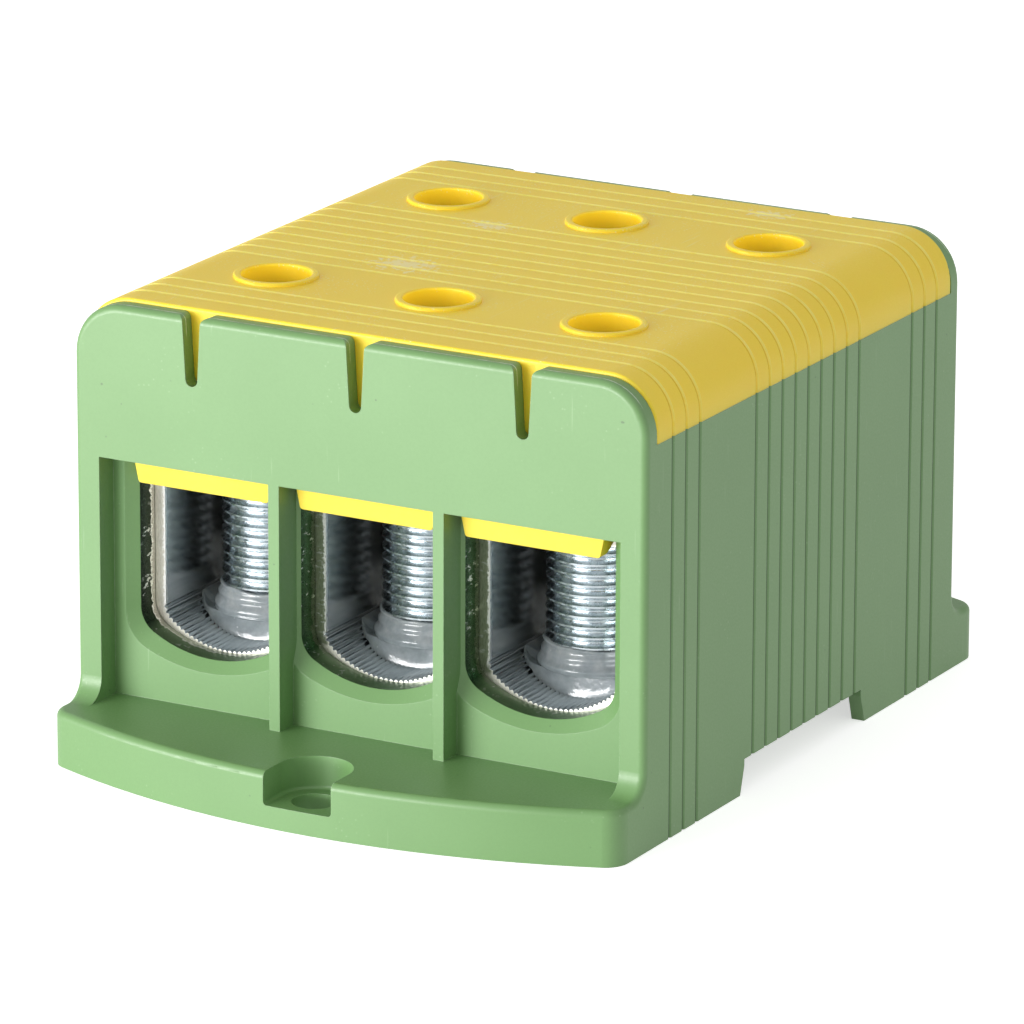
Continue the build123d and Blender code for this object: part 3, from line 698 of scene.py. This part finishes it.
def grease_coat(node, turn, seed):
    """The grease that clings round a screw's lower end, with the crests showing softly through."""
    x, y, tip, _ = node_centre(node)
    points = []
    wall_row = len(COAT_FOOT)
    lip_row = wall_row + COAT_ROWS
    rows = lip_row + len(COAT_LIP)
    for row in range(rows):
        for i in range(GREASE_STEPS):
            angle = TURN * i / GREASE_STEPS
            around = Vector((math.cos(angle), math.sin(angle), seed))
            lip = COAT_HEIGHT
            for size, scale in COAT_LIP_WAVES:
                lip += size * noise.noise(around * scale)
            if row < wall_row:
                r, z = COAT_FOOT[row]
            elif row < lip_row:
                share = (row - wall_row) / (COAT_ROWS - 1)
                z = COAT_START + (lip - COAT_START - COAT_END) * share
                wave = math.cos(TURN * (z / THREAD_PITCH - i / GREASE_STEPS) + turn)
                lump = noise.noise(around * 2.5 + Vector((0, 0, z)))
                r = COAT_RADIUS + COAT_RIPPLE * wave + COAT_LUMP * lump
                r += COAT_FLARE * (1 - share) ** 2 - COAT_TUCK * max(0.0, 1 - share * 6)
            else:
                r, drop = COAT_LIP[row - lip_row]
                z = lip + drop
            points.append((x + r * math.cos(angle), y + r * math.sin(angle), tip + z))
    faces = ring_faces(rows, GREASE_STEPS)
    faces.append(tuple(range(GREASE_STEPS)))
    faces.append(tuple((rows - 1) * GREASE_STEPS + i for i in range(GREASE_STEPS)))
    name = node + "_grease_coat"
    make_piece(name, points, faces, grease, node, GREASE_SHARP)


def channel_height(x):
    """The height of the channel's floor and corner at a distance from its middle."""
    x = min(abs(x), CHANNEL_HALF)
    belly = CHANNEL_FLOOR + CHANNEL_BELLY_RADIUS - math.sqrt(CHANNEL_BELLY_RADIUS ** 2 - x * x)
    corner_x = CHANNEL_HALF - CHANNEL_CORNER
    if x < corner_x:
        return belly
    inner = CHANNEL_BELLY_RADIUS - CHANNEL_CORNER
    corner_z = CHANNEL_FLOOR + CHANNEL_BELLY_RADIUS - math.sqrt(inner ** 2 - corner_x ** 2)
    lower = corner_z - math.sqrt(max(0.0, CHANNEL_CORNER ** 2 - (x - corner_x) ** 2))
    return max(belly, lower)


def pool_reach(angle, half_x, half_y):
    """Distance from the middle to a rounded rectangle's edge, in a direction."""
    c = abs(math.cos(angle)) / half_x
    s = abs(math.sin(angle)) / half_y
    return (c ** POOL_SQUARENESS + s ** POOL_SQUARENESS) ** (-1 / POOL_SQUARENESS)


def grease_pool(node, seed):
    """The grease between the serrated floor and a screw's tip, drawn up at the walls."""
    x, y, _, high = node_centre(node)
    wall = CHANNEL_HALF - POOL_WALL_GAP
    rows = POOL_ROWS + len(POOL_CAP_SCALES)
    points = []

    def place(dx, dy, z):
        points.append((x + dx, y + dy, z))

    def top_height(dx, dy):
        climb = max(0.0, abs(dx) - POOL_CLIMB_START) / (wall - POOL_CLIMB_START)
        ripple = POOL_RIPPLE * noise.noise(Vector((dx * 0.5, dy * 0.5, seed)))
        return high + POOL_TOP_ROOM + POOL_CLIMB * climb ** 1.3 + ripple * (climb > 0)

    for row in range(POOL_ROWS):
        share = row / (POOL_ROWS - 1)
        for i in range(GREASE_STEPS):
            angle = TURN * i / GREASE_STEPS
            wave = noise.noise(Vector((math.cos(angle) * 1.7, math.sin(angle) * 1.7, seed)))
            foot = pool_reach(angle, POOL_HALF_X, POOL_FOOT_Y + POOL_FOOT_WAVE * wave)
            head = pool_reach(angle, POOL_HALF_X, POOL_HEAD_Y + POOL_HEAD_WAVE * wave)
            reach = foot + (head - foot) * share ** 1.6 + POOL_SPREAD * (1 - share) ** 4
            dx = max(-wall, min(wall, reach * math.cos(angle)))
            dy = reach * math.sin(angle)
            floor = channel_height(dx) - POOL_SINK
            place(dx, dy, floor + (top_height(dx, dy) - floor) * share)
    head_row = points[-GREASE_STEPS:]
    for scale in POOL_CAP_SCALES:
        for px, py, _ in head_row:
            dx = (px - x) * scale
            dy = (py - y) * scale
            place(dx, dy, top_height(dx, dy))
    faces = ring_faces(rows, GREASE_STEPS)
    faces.append(tuple((rows - 1) * GREASE_STEPS + i for i in range(GREASE_STEPS)))
    place(0.0, 0.0, CHANNEL_FLOOR - POOL_SINK)
    for i in range(GREASE_STEPS):
        faces.append(((i + 1) % GREASE_STEPS, i, len(points) - 1))
    name = node + "_pool"
    piece = make_piece(name, points, faces, grease, "block", GREASE_SHARP)
    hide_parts(node)


def dress(node, material):
    """Gives a CAD node its material."""
    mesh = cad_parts[node].data
    mesh.materials.clear()
    mesh.materials.append(material)


def studio():
    """A pale floor, a white surround for the camera and soft lamps."""
    bpy.ops.mesh.primitive_plane_add(size=FLOOR_SIZE, location=(0.0, 0.0, -FLOOR_GAP))
    floor = bpy.context.object
    floor.name = "floor"
    n = Nodes("floor")
    rays = n.add("ShaderNodeLightPath").outputs
    seen = n.most(rays["Is Camera Ray"], rays["Is Glossy Ray"])
    n.set(Base_Color=FLOOR_GREY, Roughness=0.9, Specular_IOR_Level=0.1)
    n.set(Emission_Color=WHITE, Emission_Strength=n.product(seen, FLOOR_LIFT))
    floor.data.materials.append(n.material)

    world = bpy.data.worlds.new("surround")
    world.use_nodes = True
    bpy.context.scene.world = world
    tree = world.node_tree
    background = tree.nodes["Background"]
    path = tree.nodes.new("ShaderNodeLightPath")
    level = tree.nodes.new("ShaderNodeMapRange")
    level.inputs["To Min"].default_value = WORLD_LEVEL
    level.inputs["To Max"].default_value = 1.0
    tree.links.new(path.outputs["Is Camera Ray"], level.inputs["Value"])
    tree.links.new(level.outputs["Result"], background.inputs["Strength"])
    background.inputs["Color"].default_value = WHITE

    for name, place, size, power in LAMPS:
        lamp(name, place, size, power)


def lamp(name, place, size, power):
    """A soft lamp, width by height, aimed at the object and unseen by the camera."""
    light = bpy.data.lights.new(name, "AREA")
    light.shape = "RECTANGLE"
    light.size, light.size_y = size
    light.energy = power
    lamp_object = bpy.data.objects.new(name, light)
    lamp_object.visible_camera = False
    lamp_object.location = place
    aim = Vector(LAMP_TARGET) - Vector(place)
    lamp_object.rotation_euler = aim.to_track_quat("-Z", "Y").to_euler()
    bpy.context.scene.collection.objects.link(lamp_object)


def camera():
    """The camera at the photograph's viewing angle."""
    data = bpy.data.cameras.new("camera")
    data.sensor_width = CAMERA_SENSOR
    data.lens = CAMERA_LENS
    data.clip_start = CAMERA_NEAR
    data.clip_end = CAMERA_FAR
    eye = bpy.data.objects.new("camera", data)
    eye.location = CAMERA_PLACE
    eye.rotation_euler = [math.radians(degrees) for degrees in CAMERA_TURN]
    bpy.context.scene.collection.objects.link(eye)
    bpy.context.scene.camera = eye


bpy.context.scene.view_settings.view_transform = "Standard"

camera()
studio()

zinc = zinc_steel()
grease = contact_grease()
tin = tinned_aluminium()

dress("housing", green_plastic())
dress("lid", yellow_plastic())
dress("rail_clip", spring_steel())

for number, pole in enumerate(("left", "middle", "right")):
    dress("connector_" + pole, tin)
    for side, end in enumerate(("front", "rear")):
        seed = 10.0 * number + 3.0 * side
        screw = "clamp_screw_" + pole + "_" + end
        clamp_screw(screw, 0.7 * seed)
        grease_coat(screw, 0.7 * seed, seed)
        grease_pool("contact_grease_" + pole + "_" + end, seed + 1.0)
